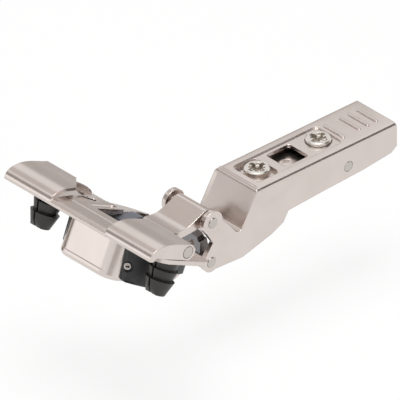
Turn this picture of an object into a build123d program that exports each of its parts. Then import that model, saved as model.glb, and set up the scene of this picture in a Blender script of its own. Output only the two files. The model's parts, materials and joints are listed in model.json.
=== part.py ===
# Concealed cabinet hinge for a narrow corner, shown fully open.
# Millimetres. X runs along the arm to its rear, Z up from the arm's top face.
# The origin is the centre of the drilled cup hole on the face of the door.
from math import cos, sin, radians
import os
from build123d import *

os.makedirs("parts", exist_ok=True)

# Driving dimensions of the drilling in the door
door_tilt = 25.0
cup_hole_radius = 17.5
dowel_spacing = 45.0
dowel_setback = 9.5
dowel_radius = 4.0
dowel_length = 10.4
dowel_slot = 0.6
wedge_hole_radius = 1.2

# Pin axes in the arm, from the cup centre, as x and z
upper_pin_x, upper_pin_z = 20.8, -4.5
lower_pin_x, lower_pin_z = 20.3, -16.5
arm_pin_radius = 1.5
# Cup
cup_length, cup_width = 31.0, 22.0
cup_corner = 5.0
cup_wall = 1.0
cup_depth = 12.4
panel_edge, panel_sink, bead_height = 2.7, 0.3, 2.0
flange_thickness = 1.2
flange_half_length = 28.45
flange_rear, flange_front = -19.6, 5.3
flange_corner = 5.5
notch_half_width = 8.6
notch_depth = 2.2

# Pin axes in the cup, as distance towards the arm and height over the door
outer_pin_v, outer_pin_w = cup_length / 2 - 8.1, -7.0
inner_pin_v, inner_pin_w = cup_length / 2 - 3.7, -4.8
cup_pin_radius = 1.2

# Fits
running_clearance = 0.05
press_clearance = 0.02
side_clearance = 0.2

# Arm
arm_width = 16.4
arm_sheet = 1.4
arm_top = -1.1
arm_rear = 86.6
step_top_x = 38.0
groove_x, groove_z, groove_radius = 31.2, -9.0, 2.7
flank_angle = 50.0
nose_radius = 3.4
lower_nose_radius = 2.9
bend_radius = 1.3
panel_width = 10.6
panel_start, panel_end, panel_depth = 39.6, 70.0, 0.4
front_cut_length, front_cut_width = 8.4, 10.0
window_x, window_length, window_width = 54.9, 8.4, 8.0
bar_length, bar_width, bar_height = 8.2, 0.8, 0.3
bar_places = (71.6, 77.3, 80.3, 83.4)

# Screws
side_screw_x = 44.0
depth_screw_x = 66.0
head_radius = 3.5
head_top = -0.5
head_height = 1.5
shank_radius = 2.0
collar_radius = 4.5
recess_length, recess_width, recess_depth = 4.4, 1.0, 0.9
cam_offset = 2.0
cam_radius = 1.5

# Carrier inside the arm
carrier_top = -4.0
carrier_sheet = 1.2
carrier_front, carrier_rear = 41.0, 83.5
carrier_floor = -10.2
slide_travel = 1.9
hook_pin_x, hook_pin_z, hook_pin_radius = 45.0, -8.4, 1.5
guide_pin_x, guide_pin_z, guide_pin_radius = 69.3, -7.2, 1.5

# Pad of the carrier on the mounting plate
seat_x, seat_length, seat_width, seat_height = 60.7, 6.0, 8.4, 0.2

# Release lever at the rear
clip_pin_x, clip_pin_z, clip_pin_radius = 77.5, -7.9, 1.25
clip_sheet = 1.2

# Links
link_width = 11.4
link_sheet = 1.2
barrel_radius = 2.75
outer_eye_radius = 1.9
inner_link_width = 8.4
inner_foot_width = 10.4
inner_eye_radius = 1.9
inner_foot_radius = 2.6

# Fixing lever
lever_front, lever_rear = -22.57, -8.1
lever_sheet = 1.0
wing_inner = 10.7
wing_cut_v, wing_cut_y = -14.6, 17.2
lever_pivot_v, lever_pivot_w = -9.0, 3.7
lever_pin_radius, lug_pin_radius, lug_thickness = 1.6, 0.7, 1.2

# Damper housings
housing_rear, far_housing_rear, housing_front = -13.2, -8.4, 6.0
housing_draft = 1.8
housing_depth = 11.6
recess_angle, recess_w = 47, -7.2
recess_radius, recess_sink, boss_radius, boss_height = 1.55, 0.7, 2.9, 0.5
rivet_radius, rivet_length = 1.1, 0.5
damper_start, damper_length = -5.5, 9.0
damper_y, damper_w = 13.9, -4.2
damper_radius, rod_radius = 2.2, 0.8
damper_end, rod_travel = 1.0, 3.0

# Derived places and planes
tilt = radians(door_tilt)
half_arm = arm_width / 2
inner_half = half_arm - arm_sheet
door = Plane(
    origin=(0, 0, 0),
    x_dir=(cos(tilt), 0, -sin(tilt)),
    z_dir=(sin(tilt), 0, cos(tilt)),
)
door_side = Plane(origin=(0, 0, 0), x_dir=door.x_dir, z_dir=(0, -1, 0))
half_cup = cup_width / 2
cup_inner = half_cup - cup_wall
link_half = link_width / 2
ear_inner = link_half - link_sheet
web_under = arm_top - arm_sheet
carrier_half = inner_half - side_clearance
carrier_inner = carrier_half - carrier_sheet
clip_width = 2 * (carrier_inner - 3 * side_clearance)


def write(part, name):
    part.label = name
    export_step(part, "parts/" + name + ".step")
    print(name, round(part.volume, 1))


# Side outline of the arm
flank = radians(flank_angle)
flank_foot = (
    groove_x - groove_radius * sin(flank),
    groove_z - groove_radius * cos(flank),
)
flank_length = 11.3
flank_top = (
    flank_foot[0] - flank_length * cos(flank),
    flank_foot[1] + flank_length * sin(flank),
)
groove_start = (groove_x + groove_radius, groove_z)
groove_low = (groove_x, groove_z - groove_radius)

with BuildPart() as arm_channel:
    with BuildSketch(Plane.XZ) as arm_outline:
        with BuildLine():
            Polyline(
                flank_top,
                (18.4, -2.6),
                (18.5, -6.9),
                (20.9, -10.7),
                (18.2, -14.2),
                (17.7, -17.6),
                (21.5, -19.1),
                (31.5, -19.5),
                (41.9, -16.7),
                (46.0, -14.8),
                (47.8, -11.9),
                (61.0, -11.1),
                (74.3, -10.5),
                (84.6, -9.4),
                (arm_rear, -8.0),
                (arm_rear, arm_top),
                (step_top_x, arm_top),
                (35.1, -5.7),
                groove_start,
            )
            RadiusArc(groove_start, flank_foot, -groove_radius)
            Line(flank_foot, flank_top)
        make_face()
        with Locations((upper_pin_x, upper_pin_z)):
            Circle(nose_radius)
        with Locations((lower_pin_x, lower_pin_z)):
            Circle(lower_nose_radius)
    extrude(amount=half_arm, both=True)
    top_edges = arm_channel.edges().filter_by(Axis.X).group_by(Axis.Z)[-1]
    fillet(top_edges, bend_radius)
    # Hollow under the web, open at the bottom and at the nose
    with BuildSketch(Plane.XZ):
        with BuildLine():
            sheet_radius = groove_radius + arm_sheet
            outer_foot = (
                groove_x - sheet_radius * sin(flank),
                groove_z - sheet_radius * cos(flank),
            )
            web_end = (
                outer_foot[0] - 3.0 * cos(flank),
                outer_foot[1] + 3.0 * sin(flank),
            )
            web_end_top = (
                web_end[0] + 4.0 * sin(flank),
                web_end[1] + 4.0 * cos(flank),
            )
            under_start = (groove_x + sheet_radius, groove_z)
            Polyline(
                (arm_rear + 2, web_under),
                (step_top_x + 0.75, web_under),
                (35.1 + 1.35, -5.7 - 0.4),
                under_start,
            )
            RadiusArc(under_start, outer_foot, -sheet_radius)
            Polyline(
                outer_foot,
                web_end,
                web_end_top,
                (25.0, 2.0),
                (10.0, 2.0),
                (10.0, -25.0),
                (arm_rear + 2, -25.0),
                (arm_rear + 2, web_under),
            )
        make_face()
    extrude(amount=inner_half, both=True, mode=Mode.SUBTRACT)
    # Shallow panel, front cut-out, window and rear screw hole in the top
    with BuildSketch(Plane.XY.offset(arm_top)):
        with Locations(((panel_start + panel_end) / 2, 0)):
            RectangleRounded(panel_end - panel_start, panel_width, 1.5)
    extrude(amount=-panel_depth, mode=Mode.SUBTRACT)
    with BuildSketch(Plane.XY.offset(arm_top)):
        with Locations((panel_start + front_cut_length / 2, 0)):
            RectangleRounded(front_cut_length, front_cut_width, 2.0)
        with Locations((window_x, 0)):
            RectangleRounded(window_length, window_width, 1.0)
        with Locations((depth_screw_x, 0)):
            Circle(head_radius + side_clearance)
    extrude(amount=-arm_sheet, mode=Mode.SUBTRACT)
    # Raised bars behind the rear screw
    with BuildSketch(Plane.XY.offset(arm_top)):
        with Locations([(x, 0) for x in bar_places]):
            SlotOverall(bar_length, bar_width, rotation=90)
    extrude(amount=bar_height)
    # Bores of the two hinge pins and the guide pin
    with BuildSketch(Plane.XZ):
        with Locations((upper_pin_x, upper_pin_z), (lower_pin_x, lower_pin_z)):
            Circle(arm_pin_radius + press_clearance)
        with Locations((guide_pin_x, guide_pin_z)):
            Circle(guide_pin_radius + press_clearance)
    extrude(amount=half_arm + 1, both=True, mode=Mode.SUBTRACT)
write(arm_channel.part, "arm_channel")


def cross_pin(x, z, radius, half_length):
    with BuildPart() as pin:
        with BuildSketch(Plane.XZ):
            with Locations((x, z)):
                Circle(radius)
        extrude(amount=half_length, both=True)
        chamfer(pin.edges().filter_by(GeomType.CIRCLE), 0.2)
    return pin.part


write(cross_pin(upper_pin_x, upper_pin_z, arm_pin_radius, half_arm + 0.3), "upper_arm_pin")
write(cross_pin(lower_pin_x, lower_pin_z, arm_pin_radius, half_arm + 0.3), "lower_arm_pin")
write(cross_pin(guide_pin_x, guide_pin_z, guide_pin_radius, half_arm + 0.1), "carrier_guide_pin")

# Bridge plate that the side screw is threaded through
bridge_top = web_under
bridge_sheet = 1.0
with BuildPart() as side_screw_nut:
    with BuildSketch(Plane.XY.offset(bridge_top)):
        with Locations((side_screw_x, 0)):
            RectangleRounded(9.0, 2 * inner_half - 0.4, 1.0)
    extrude(amount=-bridge_sheet)
    with BuildSketch(Plane.XY.offset(bridge_top)):
        with Locations((side_screw_x, 0)):
            Circle(3.6)
    extrude(amount=0.4)
    with Locations(Location((side_screw_x, 0, bridge_top))):
        Hole(shank_radius + running_clearance)
write(side_screw_nut.part, "side_screw_nut")


def cross_recess(x):
    """Cross recess of a screw head, turned by an eighth of a turn."""
    with BuildSketch(Plane.XY.offset(head_top)) as cross:
        with Locations((x, 0)):
            Rectangle(recess_length, recess_width, rotation=45)
            Rectangle(recess_width, recess_length, rotation=45)
    return cross.sketch


side_recess = cross_recess(side_screw_x)
depth_recess = cross_recess(depth_screw_x)

# Side adjusting screw
side_foot = carrier_top + 0.05
with BuildPart() as side_screw:
    with BuildSketch(Plane.XY.offset(head_top)):
        with Locations((side_screw_x, 0)):
            Circle(head_radius)
    extrude(amount=-head_height)
    chamfer(side_screw.edges().group_by(Axis.Z)[-1], 0.3)
    with BuildSketch(Plane.XY.offset(head_top - head_height)):
        with Locations((side_screw_x, 0)):
            Circle(shank_radius)
    extrude(amount=side_foot - (head_top - head_height))
    extrude(side_recess, amount=-recess_depth, mode=Mode.SUBTRACT)
write(side_screw.part, "side_screw")

# Depth adjusting screw with its cam
cam_bottom = carrier_top - carrier_sheet + 0.1
collar_top = web_under - running_clearance
with BuildPart() as depth_screw:
    with BuildSketch(Plane.XY.offset(head_top)):
        with Locations((depth_screw_x, 0)):
            Circle(head_radius)
    extrude(amount=-(head_top - collar_top))
    chamfer(depth_screw.edges().group_by(Axis.Z)[-1], 0.3)
    with BuildSketch(Plane.XY.offset(collar_top)):
        with Locations((depth_screw_x, 0)):
            Circle(collar_radius)
    extrude(amount=-(collar_top - carrier_top - 0.3))
    with BuildSketch(Plane.XY.offset(carrier_top + 0.3)):
        with Locations((depth_screw_x, cam_offset)):
            Circle(cam_radius)
    extrude(amount=cam_bottom - carrier_top - 0.3)
    extrude(depth_recess, amount=-recess_depth, mode=Mode.SUBTRACT)
write(depth_screw.part, "depth_screw")

# Carrier: a folded channel inside the arm
with BuildPart() as base_carrier:
    with BuildSketch(Plane.YZ.offset(carrier_front)):
        with BuildLine():
            Polyline(
                (-carrier_half, carrier_floor),
                (-carrier_half, carrier_top),
                (carrier_half, carrier_top),
                (carrier_half, carrier_floor),
                (carrier_half - carrier_sheet, carrier_floor),
                (carrier_half - carrier_sheet, carrier_top - carrier_sheet),
                (-carrier_half + carrier_sheet, carrier_top - carrier_sheet),
                (-carrier_half + carrier_sheet, carrier_floor),
                close=True,
            )
        make_face()
    extrude(amount=carrier_rear - carrier_front)
    fillet(base_carrier.edges().filter_by(Axis.X).group_by(Axis.Z)[-1], bend_radius)
    # Cross slot for the cam, round hole under the window, open rear over the lever
    with BuildSketch(Plane.XY.offset(carrier_top)):
        with Locations((depth_screw_x, 0)):
            Rectangle(2 * cam_radius + 0.4, 2 * (cam_offset + cam_radius) + 1.0)
        with Locations((window_x, 0)):
            Circle(2.2)
        with Locations((carrier_rear - 3.5, 0)):
            Rectangle(13.0, 2 * carrier_inner - 0.6)
    extrude(amount=-carrier_sheet, mode=Mode.SUBTRACT)
    # Pressed pad that rests on the mounting plate
    with BuildSketch(Plane.XY.offset(carrier_top - carrier_sheet)):
        with Locations((seat_x, 0)):
            RectangleRounded(seat_length, seat_width, 1.0)
    extrude(amount=-seat_height)
    with BuildSketch(Plane.XZ):
        with Locations((hook_pin_x, hook_pin_z)):
            Circle(hook_pin_radius + press_clearance)
        with Locations((clip_pin_x, clip_pin_z)):
            Circle(clip_pin_radius + press_clearance)
        with Locations((guide_pin_x, guide_pin_z)):
            SlotOverall(
                2 * (guide_pin_radius + slide_travel + 0.2),
                2 * (guide_pin_radius + running_clearance),
            )
    extrude(amount=half_arm, both=True, mode=Mode.SUBTRACT)
write(base_carrier.part, "base_carrier")
write(cross_pin(hook_pin_x, hook_pin_z, hook_pin_radius, carrier_half - 0.1), "front_hook_pin")
write(cross_pin(clip_pin_x, clip_pin_z, clip_pin_radius, carrier_half - 0.1), "clip_lever_pin")

# Release lever, a bent finger plate with a barrel on its pin
clip_barrel = clip_pin_radius + clip_sheet
spring_gap = 2.4
with BuildPart() as clip_lever:
    with BuildSketch(Plane.XZ):
        with Locations((clip_pin_x, clip_pin_z)):
            Circle(clip_barrel)
        with BuildLine():
            Polyline(
                (clip_pin_x - clip_barrel, clip_pin_z),
                (clip_pin_x - 3.3, -11.2),
                (clip_pin_x - 4.9, -11.2),
                (clip_pin_x - 4.9, -12.4),
                (clip_pin_x - 2.3, -12.4),
                (clip_pin_x - 0.5, clip_pin_z - 1.2),
                close=True,
            )
        make_face()
        with BuildLine():
            Polyline(
                (clip_pin_x, clip_pin_z + clip_barrel),
                (clip_pin_x + 4.0, clip_pin_z + clip_barrel),
                (clip_pin_x + 8.0, clip_pin_z + 0.7),
                (clip_pin_x + 8.0, clip_pin_z - 0.7),
                (clip_pin_x + 3.6, clip_pin_z + clip_barrel - clip_sheet),
                (clip_pin_x, clip_pin_z + clip_barrel - clip_sheet),
                close=True,
            )
        make_face()
    extrude(amount=clip_width / 2, both=True)
    with BuildSketch(Plane.XZ):
        with Locations((clip_pin_x, clip_pin_z)):
            Circle(clip_pin_radius + running_clearance)
    extrude(amount=clip_width, both=True, mode=Mode.SUBTRACT)
    # Gap in the barrel for the spring coil
    with BuildSketch(Plane.XZ):
        with Locations((clip_pin_x - 0.2, clip_pin_z)):
            Rectangle(2 * clip_barrel + 0.6, 2 * clip_barrel + 0.2)
    extrude(amount=spring_gap, both=True, mode=Mode.SUBTRACT)
write(clip_lever.part, "clip_lever")

# Coil spring on the release lever's pin
wire_radius = 0.35
coil_radius = clip_pin_radius + wire_radius + 0.12
with BuildPart() as clip_lever_spring:
    with BuildSketch(Plane.XZ.offset(-spring_gap + 0.3)):
        with Locations((clip_pin_x, clip_pin_z)):
            Circle(coil_radius + wire_radius)
            Circle(coil_radius - wire_radius, mode=Mode.SUBTRACT)
    extrude(amount=2 * spring_gap - 0.6)
write(clip_lever_spring.part, "clip_lever_spring")

# Outer link: folded sheet with a barrel on the upper arm pin


def door_point(v, w):
    """A point given in the door's frame, as x and z."""
    return (v * cos(tilt) + w * sin(tilt), -v * sin(tilt) + w * cos(tilt))


outer_eye = door_point(outer_pin_v, outer_pin_w)
inner_eye = door_point(inner_pin_v, inner_pin_w)
web_line = (
    (upper_pin_x, upper_pin_z + barrel_radius),
    (18.8, -2.35),
    (16.2, -3.5),
    (13.2, -4.35),
    (10.8, -4.2),
    (9.0, -3.85),
)
with BuildPart() as outer_link:
    with BuildSketch(Plane.XZ):
        with BuildLine() :
            Spline(*web_line, tangents=[(-1, 0), (-1, 0.25)])
            offset(amount=link_sheet, side=Side.LEFT)
        make_face()
    extrude(amount=link_half, both=True)
    with BuildSketch(Plane.XZ):
        with Locations((upper_pin_x, upper_pin_z)):
            Circle(barrel_radius)
    extrude(amount=link_half, both=True)
    with BuildSketch(Plane.XZ):
        with BuildLine():
            Spline(*web_line, tangents=[(-1, 0), (-1, 0.25)])
            Polyline(
                web_line[-1],
                (6.4, -5.2),
                (outer_eye[0] - 1.6, outer_eye[1] + 1.0),
                (outer_eye[0] + 1.2, outer_eye[1] - 1.4),
                (7.4, -7.6),
                (10.2, -6.6),
                (14.0, -6.5),
                (upper_pin_x - 2.2, upper_pin_z - 1.6),
                (upper_pin_x, upper_pin_z),
                web_line[0],
            )
        make_face()
        with Locations(outer_eye):
            Circle(outer_eye_radius)
    extrude(amount=link_half, both=True)
    with BuildSketch(Plane.XZ):
        with BuildLine():
            Polyline(
                (-2.0, -14.0),
                (-2.0, -4.2),
                (7.4, -5.0),
                (10.8, -5.4),
                (13.2, -5.55),
                (16.2, -4.7),
                (upper_pin_x - 2.2, upper_pin_z - 0.9),
                (upper_pin_x - 2.2, -14.0),
                close=True,
            )
        make_face()
    extrude(amount=ear_inner, both=True, mode=Mode.SUBTRACT)
    with BuildSketch(Plane.XZ):
        with BuildLine():
            Polyline(
                (-2.0, -14.0), (-2.0, 2.0), (8.6, 2.0), (8.6, -14.0), close=True
            )
        make_face()
    extrude(amount=ear_inner, both=True, mode=Mode.SUBTRACT)
    with BuildSketch(Plane.XZ):
        with Locations((upper_pin_x, upper_pin_z)):
            Circle(arm_pin_radius + running_clearance)
        with Locations(outer_eye):
            Circle(cup_pin_radius + running_clearance)
    extrude(amount=arm_width, both=True, mode=Mode.SUBTRACT)
write(outer_link.part, "outer_link")

# Inner link: a solid lever that arches over the edge of the cup
cup_front = cup_length / 2
neck_line = (
    door_point(cup_front - 2.5, -2.6),
    door_point(cup_front - 0.8, -0.45),
    door_point(cup_front + 1.7, 0.9),
    door_point(20.4, 0.5),
    door_point(22.8, -1.3),
    door_point(24.4, -4.0),
)
neck_thickness = (1.7, 1.5, 1.5, 1.6, 2.4, 3.2)


def band_outline(points, widths):
    """The two sides of a band with its own width at each point of its centre line."""
    left, right = [], []
    for i, (x, z) in enumerate(points):
        ahead = points[min(i + 1, len(points) - 1)]
        behind = points[max(i - 1, 0)]
        along = Vector(ahead[0] - behind[0], ahead[1] - behind[1]).normalized()
        side = Vector(-along.Y, along.X) * (widths[i] / 2)
        left.append((x + side.X, z + side.Y))
        right.append((x - side.X, z - side.Y))
    return left, right


lower_pin = (lower_pin_x, lower_pin_z)
neck_points = (inner_eye,) + neck_line + (lower_pin,)
neck_widths = (2.8,) + neck_thickness + (4.0,)
neck_upper, neck_lower = band_outline(neck_points, neck_widths)
with BuildPart() as inner_link:
    with BuildSketch(Plane.XZ):
        with BuildLine():
            Spline(*neck_upper)
            Spline(*neck_lower)
            Line(neck_upper[0], neck_lower[0])
            Line(neck_upper[-1], neck_lower[-1])
        make_face()
        with Locations(inner_eye):
            Circle(inner_eye_radius)
    extrude(amount=inner_link_width / 2, both=True)
    with BuildSketch(Plane.XZ):
        with Locations(lower_pin):
            Circle(inner_foot_radius)
        with BuildLine():
            Polyline(
                neck_upper[-3],
                neck_upper[-2],
                neck_upper[-1],
                neck_lower[-1],
                neck_lower[-2],
                neck_lower[-3],
                close=True,
            )
        make_face()
    extrude(amount=inner_foot_width / 2, both=True)
    with BuildSketch(Plane.XZ):
        with Locations(lower_pin):
            Circle(arm_pin_radius + running_clearance)
        with Locations(inner_eye):
            Circle(cup_pin_radius + running_clearance)
    extrude(amount=arm_width, both=True, mode=Mode.SUBTRACT)
write(inner_link.part, "inner_link")

# Cup with its flange, drawn from one sheet
lug_half_width = 1.35
lug_foot = flange_thickness / 2
lug_top = lever_pivot_w + lug_pin_radius + 0.25
lug_middle = flange_half_length - lever_sheet - side_clearance - lug_thickness / 2
with BuildPart() as cup_shell:
    with BuildSketch(door.offset(-cup_depth)):
        RectangleRounded(cup_length, cup_width, cup_corner)
    extrude(amount=cup_depth + flange_thickness)
    cup_floor = cup_shell.faces().sort_by(Axis((0, 0, 0), door.z_dir))[0]
    fillet(cup_floor.edges(), 1.3)
    # Sunk panel in the rear wall, over the bead at the floor
    with BuildSketch(door.offset(bead_height - cup_depth)):
        RectangleRounded(cup_length + 2, cup_width + 2, cup_corner + 1)
        RectangleRounded(
            cup_length - 2 * panel_sink,
            cup_width - 2 * panel_sink,
            cup_corner - panel_sink,
            mode=Mode.SUBTRACT,
        )
        with Locations((-cup_length / 2, 0)):
            Rectangle(cup_length / 2, cup_width - 2 * panel_edge, mode=Mode.INTERSECT)
    extrude(amount=cup_depth - bead_height, mode=Mode.SUBTRACT)
    with BuildSketch(door):
        Circle(cup_hole_radius + 0.2)
        with Locations((cup_length, 0)):
            Rectangle(cup_length, 2 * flange_half_length, mode=Mode.SUBTRACT)
        with Locations(((flange_rear + flange_front) / 2, 0)):
            RectangleRounded(
                flange_front - flange_rear, 2 * flange_half_length, flange_corner
            )
    extrude(amount=flange_thickness)
    with BuildSketch(door.offset(-cup_depth + cup_wall)):
        RectangleRounded(
            cup_length - 2 * cup_wall, cup_width - 2 * cup_wall, cup_corner - cup_wall
        )
    extrude(amount=cup_depth + flange_thickness, mode=Mode.SUBTRACT)
    # Notch in the wall that the links pass over
    with BuildSketch(door.offset(-notch_depth)):
        with Locations((cup_length / 2 + 2, 0)):
            Rectangle(9.0, 2 * notch_half_width)
    extrude(amount=notch_depth + 4, mode=Mode.SUBTRACT)
    # Slots in the wings, holes over the dowels
    with BuildSketch(door):
        with Locations((-1.0, 17.0), (-1.0, -17.0)):
            SlotOverall(4.8, 1.3)
        with Locations(
            (-dowel_setback, dowel_spacing / 2), (-dowel_setback, -dowel_spacing / 2)
        ):
            Circle(wedge_hole_radius + 0.1)
    extrude(amount=flange_thickness, mode=Mode.SUBTRACT)
    with BuildSketch(door_side):
        with Locations((outer_pin_v, outer_pin_w), (inner_pin_v, inner_pin_w)):
            Circle(cup_pin_radius + press_clearance)
    extrude(amount=half_cup + 1, both=True, mode=Mode.SUBTRACT)
    # Lugs that the fixing lever turns on
    for side in (-1, 1):
        with BuildSketch(door_side.offset(side * lug_middle)):
            with Locations((lever_pivot_v, (lug_top + lug_foot) / 2)):
                lug_face = Rectangle(2 * lug_half_width, lug_top - lug_foot)
            fillet(lug_face.vertices().group_by(Axis.Y)[-1], lug_half_width / 2)
        extrude(amount=lug_thickness / 2, both=True)
    with BuildSketch(door_side):
        with Locations((lever_pivot_v, lever_pivot_w)):
            Circle(lug_pin_radius + press_clearance)
    extrude(amount=flange_half_length, both=True, mode=Mode.SUBTRACT)
write(cup_shell.part, "cup_shell")

# Short pins of the links in the cup, one on each side
ear_gap = 0.2
for name, v, w, start in (
    ("outer_cup_pins", outer_pin_v, outer_pin_w, ear_inner),
    ("inner_cup_pins", inner_pin_v, inner_pin_w, link_half + ear_gap),
):
    with BuildPart() as stubs:
        with BuildSketch(door_side.offset(start)):
            with Locations((v, w)):
                Circle(cup_pin_radius)
        extrude(amount=half_cup - start)
        mirror(about=Plane.XZ)
    write(stubs.part, name)

# Fixing lever over the flange
wing_line = (
    (lever_front, 0.3),
    (lever_front - 0.2, 1.8),
    (lever_front + 0.65, 3.3),
    (lever_front + 2.1, 4.25),
    (lever_front + 3.7, 4.95),
    (lever_front + 5.5, 5.4),
    (lever_front + 9.3, 5.75),
    (lever_rear, 5.9),
)
wing_under = tuple((v + lever_sheet, w - 0.4) for v, w in wing_line[1:3]) + tuple(
    (v + 0.25, w - lever_sheet) for v, w in wing_line[3:]
)
bar_line = (
    (lever_front, 0.3),
    (lever_front - 0.2, 1.3),
    (lever_front + 0.6, 1.95),
    (lever_front + 2.2, 2.3),
    (lever_front + 3.9, 2.6),
)
with BuildPart() as fixing_lever:
    for side in (-1, 1):
        with BuildSketch(door_side.offset(side * (wing_inner + flange_half_length) / 2)):
            with BuildLine():
                Spline(*wing_line)
                Line(wing_line[-1], wing_under[-1])
                Spline(*wing_under[::-1])
                Polyline(wing_under[0], (lever_front + lever_sheet, 0.3), wing_line[0])
            make_face()
        extrude(amount=(flange_half_length - wing_inner) / 2, both=True)
        # Inner rear corner of the wing, cut off at a slant
        with BuildSketch(door.offset(flange_thickness + side_clearance)):
            with BuildLine():
                Polyline(
                    (wing_cut_v, side * (wing_inner - 1)),
                    (wing_cut_v, side * wing_inner),
                    (lever_rear, side * wing_cut_y),
                    (lever_rear + 2, side * wing_cut_y),
                    (lever_rear + 2, side * (wing_inner - 1)),
                    close=True,
                )
            make_face()
        extrude(amount=cup_depth, mode=Mode.SUBTRACT)
        # Cheek at the outer end, with the hole for its pin
        with BuildSketch(door_side.offset(side * (flange_half_length - lever_sheet / 2))):
            with BuildLine():
                Spline(*wing_line)
                Polyline(
                    wing_line[-1],
                    (lever_pivot_v + 2.5, lever_pivot_w + 1.0),
                    (lever_pivot_v + 2.7, lever_pivot_w - 0.6),
                    (lever_pivot_v + 1.4, 1.45),
                    (flange_rear - 0.8, 1.45),
                    (flange_rear - 1.6, 0.3),
                    wing_line[0],
                )
            make_face()
        extrude(amount=lever_sheet / 2, both=True)
        with BuildSketch(door_side.offset(side * (flange_half_length - lever_sheet / 2))):
            with Locations((lever_pivot_v, lever_pivot_w)):
                Circle(lever_pin_radius + press_clearance)
        extrude(amount=lever_sheet / 2, both=True, mode=Mode.SUBTRACT)
    # Low bar between the wings, which leaves room for the arm of the closed hinge
    with BuildSketch(door_side):
        with BuildLine():
            Spline(*bar_line)
            Polyline(
                bar_line[-1],
                (bar_line[-1][0] + 0.4, 1.3),
                (bar_line[-1][0] - 0.5, 1.3),
                (bar_line[-1][0] - 0.8, 1.7),
                (lever_front + lever_sheet, 1.0),
                (lever_front + lever_sheet, 0.3),
                bar_line[0],
            )
        make_face()
    extrude(amount=wing_inner + 0.5, both=True)
write(fixing_lever.part, "fixing_lever")

for name, hand in (("lever_pin_right", 1), ("lever_pin_left", -1)):
    lug_end = lug_middle - lug_thickness / 2 - 2 * side_clearance
    cheek_inner = flange_half_length - lever_sheet
    with BuildPart() as lever_pin:
        with BuildSketch(door_side.offset(hand * lug_end)):
            with Locations((lever_pivot_v, lever_pivot_w)):
                Circle(lug_pin_radius)
        extrude(amount=hand * (cheek_inner - lug_end))
        with BuildSketch(door_side.offset(hand * cheek_inner)):
            with Locations((lever_pivot_v, lever_pivot_w)):
                Circle(lever_pin_radius)
        extrude(amount=hand * lever_sheet)
    write(lever_pin.part, name)

# Barbed dowels and the pins that spread them
for hand, side in (("right", -1), ("left", 1)):
    centre = door.from_local_coords((-dowel_setback, side * dowel_spacing / 2, 0))
    dowel_plane = Plane(origin=centre, x_dir=door.x_dir, z_dir=(0, -1, 0))
    with BuildPart() as dowel:
        with BuildSketch(dowel_plane):
            with BuildLine():
                Polyline(
                    (wedge_hole_radius, 0.0),
                    (dowel_radius, 0.0),
                    (3.3, -3.2),
                    (dowel_radius + 0.1, -3.2),
                    (3.2, -6.2),
                    (dowel_radius + 0.1, -6.2),
                    (2.7, -dowel_length),
                    (wedge_hole_radius, -dowel_length),
                    close=True,
                )
            make_face()
        revolve(axis=Axis(centre, door.z_dir))
        # Slot that lets the wedge pin spread the two halves
        with BuildSketch(Plane(origin=centre, x_dir=door.x_dir, z_dir=door.z_dir)):
            Rectangle(3 * dowel_radius, dowel_slot)
        extrude(amount=-dowel_length - 1, mode=Mode.SUBTRACT)
        with BuildSketch(Plane(origin=centre, x_dir=door.x_dir, z_dir=door.z_dir)):
            Circle(dowel_radius - 0.6)
            Circle(wedge_hole_radius, mode=Mode.SUBTRACT)
        extrude(amount=-1.0)
    write(dowel.part, "dowel_" + hand)
    wedge_plane = Plane(origin=centre, x_dir=door.x_dir, z_dir=door.z_dir)
    with BuildPart() as wedge:
        with BuildSketch(wedge_plane.offset(0.5 - dowel_length)):
            Circle(wedge_hole_radius - running_clearance)
        extrude(amount=dowel_length - 0.5 + flange_thickness)
        with BuildSketch(wedge_plane.offset(flange_thickness)):
            Circle(2.4)
        extrude(amount=1.0)
    write(wedge.part, "dowel_wedge_" + hand)

# Rivet of the near damper housing, along a radius of the cup's hole
rivet_plane = Plane(
    origin=door.from_local_coords(
        (
            -(cup_hole_radius - 0.1) * cos(radians(recess_angle)),
            -(cup_hole_radius - 0.1) * sin(radians(recess_angle)),
            recess_w,
        )
    ),
    x_dir=door.z_dir,
    z_dir=door.x_dir * cos(radians(recess_angle)) + Vector(0, sin(radians(recess_angle)), 0),
)
with BuildPart() as housing_rivet:
    with BuildSketch(rivet_plane.offset(0.3)):
        Circle(rivet_radius)
    extrude(amount=recess_sink + rivet_length - 0.3)
    rivet_head = housing_rivet.edges().sort_by(Axis(rivet_plane.origin, rivet_plane.z_dir))[0]
    fillet(rivet_head, 0.4)
    with BuildSketch(rivet_plane.rotated((0, 0, 35))):
        Rectangle(0.45, 3 * rivet_radius)
    extrude(amount=0.6, mode=Mode.SUBTRACT)
write(housing_rivet.part, "housing_rivet")

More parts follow.
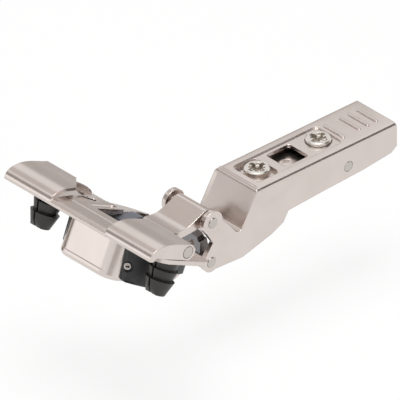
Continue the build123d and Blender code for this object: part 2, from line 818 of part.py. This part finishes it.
# Damper housings beside the cup, inside the circle of the cup's hole, with a damper in each
housing_radius = cup_hole_radius - 0.1
for hand, side, rear in (("right", -1, housing_rear), ("left", 1, far_housing_rear)):
    damper_centre = door.from_local_coords((damper_start, side * damper_y, damper_w))
    damper_plane = Plane(origin=damper_centre, x_dir=(0, 1, 0), z_dir=door.x_dir)
    with BuildPart() as housing:
        with BuildSketch(door.offset(-housing_depth)):
            Circle(housing_radius)
            with Locations(((rear + housing_front) / 2, side * cup_hole_radius)):
                Rectangle(housing_front - rear, 2 * cup_hole_radius, mode=Mode.INTERSECT)
            RectangleRounded(
                cup_length + 2 * press_clearance,
                cup_width + 2 * press_clearance,
                cup_corner + press_clearance,
                mode=Mode.SUBTRACT,
            )
        extrude(amount=housing_depth)
        # Rear face leaning towards the floor
        with BuildSketch(door_side):
            with BuildLine():
                Polyline(
                    (rear, 0),
                    (rear + housing_draft, -housing_depth),
                    (rear - 1, -housing_depth),
                    (rear - 1, 0),
                    close=True,
                )
            make_face()
        extrude(amount=cup_hole_radius, both=True, mode=Mode.SUBTRACT)
        fillet(housing.edges().group_by(Axis((0, 0, 0), door.z_dir))[0], 0.6)
        with BuildSketch(damper_plane):
            Circle(damper_radius + running_clearance)
        extrude(amount=housing_front - damper_start + 1, mode=Mode.SUBTRACT)
        if side == -1:
            # Riveted boss on the near housing, over a shallow pocket
            with BuildSketch(rivet_plane):
                with Locations((-boss_radius - 0.1, 0)):
                    RectangleRounded(2.2, 9.0, 0.5)
                Circle(boss_radius, mode=Mode.SUBTRACT)
            extrude(amount=boss_height, mode=Mode.SUBTRACT)
            with BuildSketch(rivet_plane):
                Circle(recess_radius)
            extrude(amount=recess_sink, mode=Mode.SUBTRACT)
            with BuildSketch(rivet_plane):
                Circle(rivet_radius + press_clearance)
            extrude(amount=recess_sink + rivet_length, mode=Mode.SUBTRACT)
    write(housing.part, "damper_housing_" + hand)
    with BuildPart() as cylinder:
        with BuildSketch(damper_plane):
            Circle(damper_radius)
        extrude(amount=damper_length)
        with BuildSketch(damper_plane.offset(damper_end)):
            Circle(rod_radius + running_clearance)
        extrude(amount=damper_length, mode=Mode.SUBTRACT)
    write(cylinder.part, "damper_cylinder_" + hand)
    with BuildPart() as rod:
        with BuildSketch(damper_plane.offset(damper_end + rod_travel + side_clearance)):
            Circle(rod_radius)
        extrude(amount=damper_length - damper_end + side_clearance)
    write(rod.part, "damper_rod_" + hand)

# Slider of the damper, a moulded slab inside the cup
with BuildPart() as damper_slider:
    with BuildSketch(door.offset(-1.3)):
        with Locations((6.8, (link_half + 0.3 + cup_inner - 0.15) / 2)):
            RectangleRounded(8.4, cup_inner - 0.15 - link_half - 0.3, 0.8)
    extrude(amount=1.1)
    with BuildSketch(door.offset(-1.3)):
        with Locations((9.4, cup_inner - 0.65)):
            Rectangle(2.4, 1.0)
    extrude(amount=-3.2)
write(damper_slider.part, "damper_slider")

# Closing springs on the outer pins in the cup
spring_wire = 0.33
spring_turns = 5
spring_pitch = 0.64
for hand, side in (("right", -1), ("left", 1)):
    eye = Vector(*(outer_eye[0], 0, outer_eye[1]))
    ring_plane = Plane(origin=eye, x_dir=(0, side, 0), z_dir=(side, 0, 0))
    with BuildPart() as spring:
        with BuildSketch(ring_plane):
            with Locations(
                [
                    (link_half + 0.5 + i * spring_pitch, cup_pin_radius + 0.1 + spring_wire)
                    for i in range(spring_turns)
                ]
            ):
                Circle(spring_wire)
        revolve(axis=Axis(eye, (0, 1, 0)))
    write(spring.part, "closing_spring_" + hand)
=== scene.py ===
# %% [markdown]
# A concealed cabinet hinge, fully open, as a catalogue photograph shows it.
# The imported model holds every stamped, turned and moulded piece at its real size. This file gives the
# pieces their finishes, presses some finer forms into copies of them, and adds the light and the camera.

# %% Load the frame
import json
from math import cos, pi, radians, sin

import bmesh
import bpy
from mathutils import Matrix, Vector


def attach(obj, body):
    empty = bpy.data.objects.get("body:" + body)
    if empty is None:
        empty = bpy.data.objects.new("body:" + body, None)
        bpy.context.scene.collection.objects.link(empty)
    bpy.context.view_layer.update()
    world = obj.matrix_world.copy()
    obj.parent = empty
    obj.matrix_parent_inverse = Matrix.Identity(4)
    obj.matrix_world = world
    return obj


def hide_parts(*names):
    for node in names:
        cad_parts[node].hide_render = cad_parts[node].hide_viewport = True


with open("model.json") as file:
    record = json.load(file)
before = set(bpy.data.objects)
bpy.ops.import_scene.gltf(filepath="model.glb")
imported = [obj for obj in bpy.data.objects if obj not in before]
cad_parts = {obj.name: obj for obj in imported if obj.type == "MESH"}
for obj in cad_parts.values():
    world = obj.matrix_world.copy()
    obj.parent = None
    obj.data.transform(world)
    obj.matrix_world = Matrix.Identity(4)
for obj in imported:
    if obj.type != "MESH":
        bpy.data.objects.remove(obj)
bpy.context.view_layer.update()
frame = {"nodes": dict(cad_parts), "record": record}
nodes = frame["nodes"]
MM = 0.001

# %% [markdown]
# The camera is orthographic: the photograph's arm keeps its width from end to end, so it was taken from far
# away. Right, up and the direction back to the lens are unit vectors of the object's own frame, and the
# width of the view is the photograph's 400 pixels at its scale.

# %% Camera
PHOTO_PIXELS = 400
PIXELS_PER_MM = 3.787
view_right = Vector((0.738, -0.6748, 0.0)).normalized()
to_lens = Vector((-0.5731, -0.6267, 0.528))
to_lens = (to_lens - to_lens.dot(view_right) * view_right).normalized()
view_up = to_lens.cross(view_right)
view_centre = (17.45 * view_right + 6.5 * view_up) * MM
CAMERA_DISTANCE = 0.5

camera_data = bpy.data.cameras.new("camera")
camera_data.type = "ORTHO"
camera_data.ortho_scale = PHOTO_PIXELS / PIXELS_PER_MM * MM
camera = bpy.data.objects.new("camera", camera_data)
camera_turn = Matrix((view_right, view_up, to_lens)).transposed().to_4x4()
camera.matrix_world = Matrix.Translation(view_centre + to_lens * CAMERA_DISTANCE) @ camera_turn
bpy.context.scene.collection.objects.link(camera)
bpy.context.scene.camera = camera
print("view width mm:", round(camera_data.ortho_scale / MM, 1))

# %% [markdown]
# Blender's materials are trees of nodes. They could be clicked together, but in a script one small helper
# that adds a node, sets its sockets and links it keeps each recipe short enough to read. Colours are the
# hex values of a paint chart, and one function turns them to the linear light that the renderer works in.


# %% Helpers for materials
def linear(hex_colour):
    """A colour such as #c9c2ba as linear red, green, blue and alpha."""
    parts = [int(hex_colour[i : i + 2], 16) / 255 for i in (1, 3, 5)]
    return [p / 12.92 if p <= 0.04045 else ((p + 0.055) / 1.055) ** 2.4 for p in parts] + [1.0]


def add_node(tree, kind, settings=None, **sockets):
    """Adds a node. Settings are its properties. A socket gets a value or another node's output."""
    node = tree.nodes.new(kind)
    for key, value in (settings or {}).items():
        setattr(node, key, value)
    for key, value in sockets.items():
        socket = node.inputs[int(key[1:])] if key[0] == "_" else node.inputs[key.replace("_", " ")]
        if isinstance(value, bpy.types.NodeSocket):
            tree.links.new(value, socket)
        else:
            socket.default_value = value
    return node


def new_material(name):
    material = bpy.data.materials.new(name)
    material.use_nodes = True
    tree = material.node_tree
    tree.nodes.clear()
    return material, tree


def per_mm(size):
    """The scale of a pattern whose features are size millimetres apart."""
    return 1000 / size


# %% [markdown]
# Nickel-plated steel sheet is what the arm, the cup, the links and the levers are pressed from. Barrel
# plating over rolled strip leaves a satin skin: a warm light grey that reflects, with the reflection spread
# by a grain of a few hundredths of a millimetre. That grain is far too fine for one pixel of a quarter of a
# millimetre, so it is drawn at half a millimetre. The pressed edges are a little rounder than a drawing
# says, which the Bevel node gives to the shading.


# %% Satin nickel and its relatives
def metal(name, base, worn, roughness, grain_mm, bump, edge_mm=0.25, mottling=0.12):
    material, tree = new_material(name)
    place = add_node(tree, "ShaderNodeTexCoord").outputs["Object"]
    cloud = add_node(
        tree, "ShaderNodeTexNoise", Vector=place, Scale=per_mm(9.0), Detail=3.0, Roughness=0.55
    )
    grain = add_node(
        tree, "ShaderNodeTexNoise", Vector=place, Scale=per_mm(grain_mm), Detail=2.0, Roughness=0.6
    )
    tint = add_node(tree, "ShaderNodeMix", {"data_type": "RGBA"}, Factor=cloud.outputs["Fac"])
    tint.inputs[6].default_value = linear(base)
    tint.inputs[7].default_value = linear(worn)
    rough = add_node(
        tree,
        "ShaderNodeMapRange",
        _0=grain.outputs["Fac"],
        _1=0.3,
        _2=0.7,
        _3=roughness * (1 - mottling),
        _4=roughness * (1 + mottling),
    )
    rounded = add_node(tree, "ShaderNodeBevel", {"samples": 4}, Radius=edge_mm * MM)
    relief = add_node(
        tree,
        "ShaderNodeBump",
        Strength=bump,
        Distance=0.02 * MM,
        Height=grain.outputs["Fac"],
        Normal=rounded.outputs["Normal"],
    )
    shader = add_node(
        tree,
        "ShaderNodeBsdfPrincipled",
        Base_Color=tint.outputs[2],
        Metallic=1.0,
        Roughness=rough.outputs[0],
        Normal=relief.outputs["Normal"],
    )
    add_node(tree, "ShaderNodeOutputMaterial", Surface=shader.outputs[0])
    return material


# %% [markdown]
# The recipe serves five finishes. The large pressings are satin nickel. The staked pins are rolled steel and
# a little darker, the screws are brightly plated, the springs are drawn wire, and the cast link below is
# simply given a darker grey than the nickel.

# %% The metals of the hinge
satin_nickel = metal("satin_nickel_plated_steel", "#ddd2cd", "#cfc5bf", 0.22, 0.5, 0.25)
rolled_pin = metal("bright_rolled_steel", "#c9c3be", "#bdb6b0", 0.26, 0.4, 0.12, 0.12)
screw_nickel = metal("bright_nickel_screw", "#e2ddd7", "#d5cfc8", 0.22, 0.4, 0.12, 0.15)
spring_wire = metal("drawn_spring_wire", "#a09b98", "#8f8a88", 0.32, 0.3, 0.15, 0.05)
# The link is given a darker grey than the satin nickel.
dark_link = metal("darker_grey_link_steel", "#8c8a8b", "#7a7879", 0.3, 0.5, 0.3)
print("metals:", len(bpy.data.materials))

# %% [markdown]
# The dowels and the damper's housing are glass-filled polyamide, moulded in spark-eroded tools: almost
# black, with a fine matt grain that catches a soft grey light. The slider in the cup is unfilled acetal in
# a blue grey, smoother and a little waxy.


# %% Moulded plastics
def moulded(name, base, pale, roughness, grain_mm, bump, ior=1.5):
    material, tree = new_material(name)
    place = add_node(tree, "ShaderNodeTexCoord").outputs["Object"]
    cloud = add_node(
        tree, "ShaderNodeTexNoise", Vector=place, Scale=per_mm(5.0), Detail=3.0, Roughness=0.6
    )
    grain = add_node(
        tree, "ShaderNodeTexNoise", Vector=place, Scale=per_mm(grain_mm), Detail=2.0, Roughness=0.6
    )
    tint = add_node(tree, "ShaderNodeMix", {"data_type": "RGBA"}, Factor=cloud.outputs["Fac"])
    tint.inputs[6].default_value = linear(base)
    tint.inputs[7].default_value = linear(pale)
    rounded = add_node(tree, "ShaderNodeBevel", {"samples": 4}, Radius=0.2 * MM)
    relief = add_node(
        tree,
        "ShaderNodeBump",
        Strength=bump,
        Distance=0.03 * MM,
        Height=grain.outputs["Fac"],
        Normal=rounded.outputs["Normal"],
    )
    shader = add_node(
        tree,
        "ShaderNodeBsdfPrincipled",
        Base_Color=tint.outputs[2],
        Roughness=roughness,
        IOR=ior,
        Normal=relief.outputs["Normal"],
    )
    add_node(tree, "ShaderNodeOutputMaterial", Surface=shader.outputs[0])
    return material


# %% [markdown]
# The dowels are a warm black, the housings a cooler one, as two suppliers' blacks would be. The acetal of
# the slider has a lower index of refraction than the filled polyamide.

# %% The plastics of the hinge
dowel_nylon = moulded("glass_filled_polyamide", "#2b2a28", "#373532", 0.42, 0.5, 0.35)
housing_nylon = moulded("matt_black_polyamide", "#2c2c2e", "#38383a", 0.46, 0.5, 0.35)
slider_acetal = moulded("blue_grey_acetal", "#565962", "#62656e", 0.38, 0.6, 0.15, 1.48)
print("metals and plastics:", len(bpy.data.materials))

# %% [markdown]
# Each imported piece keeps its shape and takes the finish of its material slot. The slots were named when the
# pieces were drawn, so one table is all that ties a shape to a finish.

# %% Give the pieces their finishes
FINISHES = {
    "satin_nickel_steel": satin_nickel,
    "bright_pin_steel": rolled_pin,
    "screw_steel": screw_nickel,
    "spring_steel": spring_wire,
    "dark_link_steel": dark_link,
    "dark_plastic": dowel_nylon,
    "black_housing_plastic": housing_nylon,
    "blue_grey_plastic": slider_acetal,
}
for part in frame["record"]["subparts"]:
    piece = nodes[part["node"]]
    piece.data.materials.clear()
    piece.data.materials.append(FINISHES[part["material_slot"]])
print("finishes:", len(FINISHES))

# %% [markdown]
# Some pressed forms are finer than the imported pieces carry. They are worked the way a toolmaker would work
# them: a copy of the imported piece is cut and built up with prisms, and stands for it in the picture. Each
# prism is an outline in a drawing plane, in millimetres. The arm lies along x. The door is tilted, and in
# its planes v runs along it toward the arm, w stands out of it and y runs across. Forward is toward the arm.

# %% Drawing planes and prisms
DOOR_TILT = radians(25)


def arm_side(x, z, y):
    return Vector((x, y, z)) * MM


def door_side(v, w, y):
    x = v * cos(DOOR_TILT) + w * sin(DOOR_TILT)
    z = w * cos(DOOR_TILT) - v * sin(DOOR_TILT)
    return Vector((x, y, z)) * MM


def door_top(v, y, w):
    return door_side(v, w, y)


def arc(centre, radius, start, end, steps=12):
    """Points on an arc, from angle start to angle end in degrees."""
    turns = [radians(start + (end - start) * i / steps) for i in range(steps + 1)]
    return [(centre[0] + radius * cos(t), centre[1] + radius * sin(t)) for t in turns]


def prism(view, outline, low, high):
    """A solid with this outline in a view, in millimetres, from depth low to depth high."""
    mesh = bmesh.new()
    floor_ring = [mesh.verts.new(view(a, b, low)) for a, b in outline]
    roof_ring = [mesh.verts.new(view(a, b, high)) for a, b in outline]
    mesh.faces.new(floor_ring)
    mesh.faces.new(roof_ring)
    for i in range(len(outline)):
        j = (i + 1) % len(outline)
        mesh.faces.new((floor_ring[i], floor_ring[j], roof_ring[j], roof_ring[i]))
    bmesh.ops.recalc_face_normals(mesh, faces=mesh.faces)
    data = bpy.data.meshes.new("tool")
    mesh.to_mesh(data)
    mesh.free()
    tool = bpy.data.objects.new("tool", data)
    bpy.context.scene.collection.objects.link(tool)
    return tool


# %% [markdown]
# Boolean modifiers do the cutting, with the exact solver, which keeps thin sheet closed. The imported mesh
# repeats its points along every edge, so it is welded first. The result is shaded soft across small angles,
# and the number of open edges is printed: a closed mesh has none.


# %% Reworking a piece
PACKED_WELD = 0.002 * MM
WELD = 0.0005 * MM
SOFT_ANGLE = 30


def reworked(node, name, steps, start=None):
    """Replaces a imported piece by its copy, or by a start, after "cut", "add" or "keep" with each prism."""
    mesh = bmesh.new()
    mesh.from_mesh(start.data if start else nodes[node].data)
    bmesh.ops.remove_doubles(mesh, verts=mesh.verts, dist=PACKED_WELD)
    data = bpy.data.meshes.new(name)
    mesh.to_mesh(data)
    mesh.free()
    piece = bpy.data.objects.new(name, data)
    bpy.context.scene.collection.objects.link(piece)
    kinds = {"cut": "DIFFERENCE", "add": "UNION", "keep": "INTERSECT"}
    for kind, tool in steps:
        change = piece.modifiers.new("change", "BOOLEAN")
        change.operation = kinds[kind]
        change.solver = "EXACT"
        change.object = tool
    bpy.context.view_layer.update()
    graph = bpy.context.evaluated_depsgraph_get()
    result = bpy.data.meshes.new_from_object(piece.evaluated_get(graph))
    piece.modifiers.clear()
    piece.data = result
    for tool in [tool for kind, tool in steps] + [start] * bool(start):
        bpy.data.objects.remove(tool)
    open_edges = smooth_by_angle(piece)
    part = next(p for p in frame["record"]["subparts"] if p["node"] == node)
    result.materials.clear()
    result.materials.append(FINISHES[part["material_slot"]])
    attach(piece, body_of_node[node])
    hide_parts(node)
    print(name, "faces:", len(result.polygons), "open edges:", open_edges)


def smooth_by_angle(piece):
    """Shades flat only across edges sharper than the soft angle, and returns how many edges are open."""
    mesh = bmesh.new()
    mesh.from_mesh(piece.data)
    bmesh.ops.remove_doubles(mesh, verts=mesh.verts, dist=WELD)
    bmesh.ops.dissolve_degenerate(mesh, edges=mesh.edges, dist=WELD)
    for face in mesh.faces:
        face.smooth = True
    for edge in mesh.edges:
        edge.smooth = edge.calc_face_angle(pi) < radians(SOFT_ANGLE)
    open_edges = sum(len(edge.link_faces) != 2 for edge in mesh.edges)
    mesh.to_mesh(piece.data)
    mesh.free()
    return open_edges


body_of_node = {
    node: body
    for body, members in frame["record"]["behaviour"]["bodies"].items()
    for node in members
}

# %% [markdown]
# The arm's web runs straight down the step, through a round groove and up again behind the nose, always
# 1.4 mm thick. The side walls follow it, and the long bend of the top edges goes on to the step. The fold
# is drawn as one line with its two arcs, and the sheet under it follows from the same centre.

# %% The step and groove of the arm
ARM_HALF_WIDTH = 8.2
WALL_INSIDE = 6.8
GROOVE_CENTRE = (30.03, -9.67)
SHEET = 1.4
top_bend = arc((37.74, -2.6), 1.5, 90, 148.6, 6)
groove = arc(GROOVE_CENTRE, SHEET, -31.4, -137.9, 10)
step_line = top_bend + groove
step_under = arc(GROOVE_CENTRE, 2 * SHEET, -137.9, -31.4, 10) + [(37.65, -2.55), (38.2, -2.5)]
behind_nose = [(26.98, -8.38), (25.9, -9.3)]
wall = [(29.2, -12.2), (34.5, -13.0), (39.0, -4.0), (38.2, -1.6)]


def arm_front(y, z, x):
    return Vector((x, y, z)) * MM


def long_bend(side):
    outline = arc((6.9, -2.4), 1.3, 0, 90, 8) + [(6.9, -0.9), (8.4, -0.9), (8.4, -2.4)]
    return prism(arm_front, [(side * y, z) for y, z in outline], 35.0, 38.05)


reworked(
    "arm_channel",
    "arm_channel_pressed",
    [
        ("cut", prism(arm_side, groove + [(27.2, -8.4), (30.5, -4.5), (33.95, -5.95)], -9, 9)),
        ("add", prism(arm_side, step_line + behind_nose + step_under, -7.0, 7.0)),
        ("add", prism(arm_side, step_line + wall, -ARM_HALF_WIDTH, -WALL_INSIDE)),
        ("add", prism(arm_side, step_line + wall, WALL_INSIDE, ARM_HALF_WIDTH)),
        ("cut", long_bend(-1)),
        ("cut", long_bend(1)),
    ],
)

# %% [markdown]
# Both screws have a deep cross recess for the driver, with arms that grow a little broader outward. It could
# be dark paint on the heads, but a real hollow catches the light on its walls as the screws are turned.

# %% Cross recesses of the screws


def plan(x, y, z):
    return Vector((x, y, z)) * MM


def cross_recess(x, turn):
    arms = []
    for angle in (0, 90, 180, 270):
        for r, t in ((0.95, -45), (2.7, -13), (2.7, 13)):
            a = radians(angle + t + turn)
            arms.append((x + r * cos(a), r * sin(a)))
    return prism(plan, arms, -2.2, 0.2)


for screw, x, turn in (("side_screw", 44.0, 0), ("depth_screw", 66.0, 12)):
    reworked(screw, screw + "_cross", [("cut", cross_recess(x, turn))])

# %% [markdown]
# The flange is a plate that ends just in front of the dowels, and from there a thin round rim lies on the
# tub at the door's face. The sides of the opening are rolled over, and an oval hole stands beside each
# dowel. The floor of the tub slopes up to the front, where the short link needs little depth. The prisms
# stay a few hundredths of a millimetre clear of the tub's own faces, since two faces in one plane leave
# slivers and open edges.

# %% Flange, rim and opening of the cup
FLANGE_HALF_LENGTH = 28.45
PLATE_FRONT = -1.4
PLATE_CORNER = 3.3
plate_corner = arc((PLATE_FRONT, FLANGE_HALF_LENGTH - PLATE_CORNER), PLATE_CORNER, 90, 0, 8)
in_front = [(PLATE_FRONT, 30)] + plate_corner
in_front += [(v, -y) for v, y in reversed(in_front)] + [(20, -30), (20, 30)]
rim_arc = arc((0, 0), 16.9, 84, 34, 14)


def rolled_side(side):
    def door_front(y, w, v):
        return door_side(v, w, side * y)

    outline = arc((11.0, 0.25), 1.0, 180, 90, 6) + [(11.0, 1.4), (9.8, 1.4), (9.8, 0.25)]
    return prism(door_front, outline, -6.7, 1.3)


def oval(v, y, turn, length, width):
    ends = arc((length / 2 - width / 2, 0), width / 2, -90, 90, 8)
    ends += [(-p, -q) for p, q in ends]
    c, s = cos(radians(turn)), sin(radians(turn))
    return [(v + p * c - q * s, y + p * s + q * c) for p, q in ends]


def plug(y):
    """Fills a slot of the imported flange, which has oval holes in its place."""
    outline = [(-3.8, y - 1.2), (1.8, y - 1.2), (1.8, y + 1.2), (-3.8, y + 1.2)]
    return prism(door_top, outline, 0.01, 1.19)


cup_steps = [("add", plug(-17.0)), ("add", plug(17.0))]
cup_steps.append(("cut", prism(door_top, in_front, -0.03, 1.4)))
for side in (-1, 1):
    rim = [(v, side * y) for v, y in rim_arc + [(13.6, 9.6), (1.7, 9.6)]]
    cup_steps.append(("add", prism(door_top, rim, -0.9, -0.06)))
    cup_steps.append(("cut", rolled_side(side)))
    hole = oval(-3.6, side * 14.6, side * -46, 4.4, 1.9)
    cup_steps.append(("cut", prism(door_top, hole, -0.3, 1.5)))
under_slope = [(8.2, -12.4), (15.5, -5.2), (17.0, -3.7), (17.0, -14.0), (8.2, -14.0)]
slab = [(8.15, -12.33), (15.3, -5.3), (15.3, -4.0), (7.7, -11.25), (6.5, -11.25), (6.5, -12.2)]
cup_steps.append(("cut", prism(door_side, under_slope, -12, 12)))
cup_steps.append(("add", prism(door_side, slab, -10.8, 10.8)))
for side in (-1, 1):
    corner = arc((10.5, 6.0), 5.03, 0, 90, 10) + [(10.5, 12.0), (17.0, 12.0), (17.0, 6.0)]
    corner = [(v, side * y) for v, y in corner]
    cup_steps.append(("cut", prism(door_top, corner, -13.5, -3.0)))
    ledge = [(-6.8, side * 8.75), (4.5, side * 8.75), (4.5, side * 10.2), (-6.8, side * 10.2)]
    cup_steps.append(("add", prism(door_top, ledge, -0.2, 0.8)))
reworked("cup_shell", "cup_shell_drawn", cup_steps)

# %% [markdown]
# The fixing lever is one pressing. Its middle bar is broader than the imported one, with a bend line across
# it, and a tongue runs forward over the flange at each side. Both are outlines in the door's side view,
# which shows a bent sheet as its maker would draw it.

# %% Middle bar and tongues of the fixing lever
BAR = [
    (-22.57, 0.3), (-22.78, 1.32), (-21.99, 1.98), (-20.38, 2.33), (-18.67, 2.6), (-17.4, 2.82),
    (-17.1, 2.5), (-16.85, 2.88), (-14.1, 3.2), (-14.1, 2.3), (-16.5, 2.1), (-19.2, 1.7),
    (-21.57, 1.0), (-21.57, 0.3),
]
TONGUE = [
    (-9.9, 5.3), (-8.1, 5.0), (-6.2, 4.6), (-4.0, 3.97), (-2.0, 3.05), (-1.25, 2.36),
    (-1.2, 1.5), (-5.1, 1.5), (-9.9, 4.0),
]
pin_gap = arc((-9.0, 3.7), 1.8, 0, 345, 23)
reworked(
    "fixing_lever",
    "fixing_lever_pressed",
    [
        ("add", prism(door_side, BAR, -11.2, 11.2)),
        ("add", prism(door_side, TONGUE, -17.2, -16.2)),
        ("add", prism(door_side, TONGUE, 16.2, 17.2)),
        ("cut", prism(door_side, pin_gap, -29, -27.3)),
        ("cut", prism(door_side, pin_gap, 27.3, 29)),
    ],
)

# %% [markdown]
# The dowels end in a chisel edge that lies across the door, below their lowest barb. Nothing is modelled
# anew for that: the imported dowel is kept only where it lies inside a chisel's outline.

# %% Chisel ends of the dowels
DOWEL_SETBACK = 9.5
DOWEL_Y = 22.5
chisel = [(4.4, 0.5), (4.4, -7.2), (1.3, -11.0), (-1.3, -11.0), (-4.4, -7.2), (-4.4, 0.5)]
chisel = [(v - DOWEL_SETBACK, w) for v, w in chisel]
for hand, y in (("right", -DOWEL_Y), ("left", DOWEL_Y)):
    kept = prism(door_side, chisel, y - 6, y + 6)
    reworked("dowel_" + hand, "dowel_chisel_" + hand, [("keep", kept)])

# %% [markdown]
# The damper's housings are deep beside the tub and step up in front of it, where only the cylinder runs.
# One cut with the same outline serves both hands.

# %% Step under the front of the housings
under_front = [(0.0, -13.0), (8.0, -13.0), (8.0, -6.9), (0.6, -6.9), (0.0, -7.5)]
for hand, low, high in (("right", -20, -9), ("left", 9, 20)):
    reworked(
        "damper_housing_" + hand,
        "damper_housing_stepped_" + hand,
        [("cut", prism(door_side, under_front, low, high))],
    )

# %% [markdown]
# The slider is a moulded ramp beside the far wall of the tub, which the link presses down as the door shuts.
# It is so plain that it is a prism of its own.

# %% Ramp of the slider
RAMP = [(2.8, -2.4), (10.2, -2.4), (10.2, -0.1), (8.7, 0.0), (2.8, -1.6)]
reworked("damper_slider", "damper_slider_ramp", [], start=prism(door_side, RAMP, 5.95, 9.85))

# %% [markdown]
# A catalogue picture of plated steel is mostly a picture of its studio. The floor is white, well below the
# hinge, and keeps a faint shadow. Rays from the lens, and those that gloss or glass passes on, meet a floor
# that glows almost white, so the background stays clean while the rest of the light stays soft.

# %% White floor
scene = bpy.context.scene
scene.view_settings.view_transform = "Standard"
FLOOR_DROP = 0.045
FLOOR_GLOW = 0.86
bpy.ops.mesh.primitive_plane_add(size=4.0, location=(0, 0, -FLOOR_DROP))
floor = bpy.context.object
floor.name = "studio_floor"


def seen_directly(tree):
    """1 for rays from the lens, off gloss and through glass, 0 for the others."""
    path = add_node(tree, "ShaderNodeLightPath")
    either = add_node(
        tree,
        "ShaderNodeMath",
        {"operation": "MAXIMUM"},
        _0=path.outputs["Is Camera Ray"],
        _1=path.outputs["Is Glossy Ray"],
    )
    return add_node(
        tree,
        "ShaderNodeMath",
        {"operation": "MAXIMUM"},
        _0=either.outputs[0],
        _1=path.outputs["Is Transmission Ray"],
    ).outputs[0]


floor_material, tree = new_material("white_studio_floor")
matt = add_node(tree, "ShaderNodeBsdfDiffuse", Color=linear("#f4f4f4"))
glow = add_node(tree, "ShaderNodeEmission", Color=(1, 1, 1, 1), Strength=1.0)
share = add_node(
    tree, "ShaderNodeMath", {"operation": "MULTIPLY"}, _0=seen_directly(tree), _1=FLOOR_GLOW
)
blend = add_node(
    tree,
    "ShaderNodeMixShader",
    _0=share.outputs[0],
    _1=matt.outputs[0],
    _2=glow.outputs[0],
)
add_node(tree, "ShaderNodeOutputMaterial", Surface=blend.outputs[0])
floor.data.materials.append(floor_material)
print("floor below the origin, mm:", FLOOR_DROP / MM)

# %% [markdown]
# The room is pale and gives the even light that fills the shadows. To the lens it is plain white.

# %% Room
ROOM_LIGHT = 0.55
world = bpy.data.worlds.new("studio")
scene.world = world
world.use_nodes = True
tree = world.node_tree
tree.nodes.clear()
room = add_node(tree, "ShaderNodeBackground", Color=linear("#f3f2f0"), Strength=ROOM_LIGHT)
white = add_node(tree, "ShaderNodeBackground", Color=(1, 1, 1, 1), Strength=1.0)
mix = add_node(
    tree, "ShaderNodeMixShader", _0=seen_directly(tree), _1=room.outputs[0], _2=white.outputs[0]
)
add_node(tree, "ShaderNodeOutputWorld", Surface=mix.outputs[0])
print("room light:", ROOM_LIGHT)

# %% [markdown]
# One wide softbox overhead gives the bright top of the arm. A second, far weaker, stands low at the left.


# %% Lamps
def softbox(name, place, target, size, watts):
    data = bpy.data.lights.new(name, "AREA")
    data.shape = "RECTANGLE"
    data.size, data.size_y = size
    data.energy = watts
    lamp = bpy.data.objects.new(name, data)
    lamp.location = place
    lamp.rotation_euler = (Vector(place) - Vector(target)).to_track_quat("Z", "Y").to_euler()
    scene.collection.objects.link(lamp)
    print(name, "watts:", watts)


middle = (0.02, 0, 0)
softbox("softbox_above", (0, 0, 0.6), middle, (0.35, 0.35), 3.0)
softbox("softbox_left", (-0.5, 0.42, 0.06), middle, (0.4, 0.3), 0.12)

# %% [markdown]
# Plated metal shows what stands round it. Grey and dark cards, which only its reflections see, give it the
# darker bands of the photograph: low behind the hinge, high at the left, on the lens's side and above at
# the right. A card's place follows from the face it serves: the lens's ray, mirrored in that face.


# %% Cards round the hinge
def card(name, azimuth, elevation, distance, width, height, shade):
    """A card that faces the hinge. Azimuth 0 is +X and 90 is +Y, in degrees."""
    data = bpy.data.meshes.new(name)
    w, h = width / 2, height / 2
    data.from_pydata([(0, -w, -h), (0, w, -h), (0, w, h), (0, -w, h)], [], [(0, 1, 2, 3)])
    piece = bpy.data.objects.new(name, data)
    turn = Matrix.Rotation(radians(azimuth), 4, "Z") @ Matrix.Rotation(-radians(elevation), 4, "Y")
    piece.matrix_world = turn @ Matrix.Translation((distance, 0, 0))
    scene.collection.objects.link(piece)
    material, tree = new_material(name + "_paper")
    glow = add_node(tree, "ShaderNodeEmission", Color=linear(shade), Strength=1.0)
    add_node(tree, "ShaderNodeOutputMaterial", Surface=glow.outputs[0])
    data.materials.append(material)
    piece.visible_camera = False
    print(name, "at", azimuth, elevation, "degrees")


card("grey_card_behind", 38, 9, 0.36, 0.4, 0.2, "#c3bfbc")
card("dark_card_left", 96, -4, 0.145, 0.1, 0.07, "#4a4643")
card("grey_card_high_left", 80, 50, 0.5, 0.3, 0.24, "#d2cecb")
card("grey_card_left", 136, 31, 0.5, 0.26, 0.2, "#a39e9a")
card("grey_card_lens_side", 228, 6, 0.45, 0.3, 0.16, "#c4c0bd")
card("dark_card_high_right", -32, 38, 0.5, 0.3, 0.25, "#5c5754")
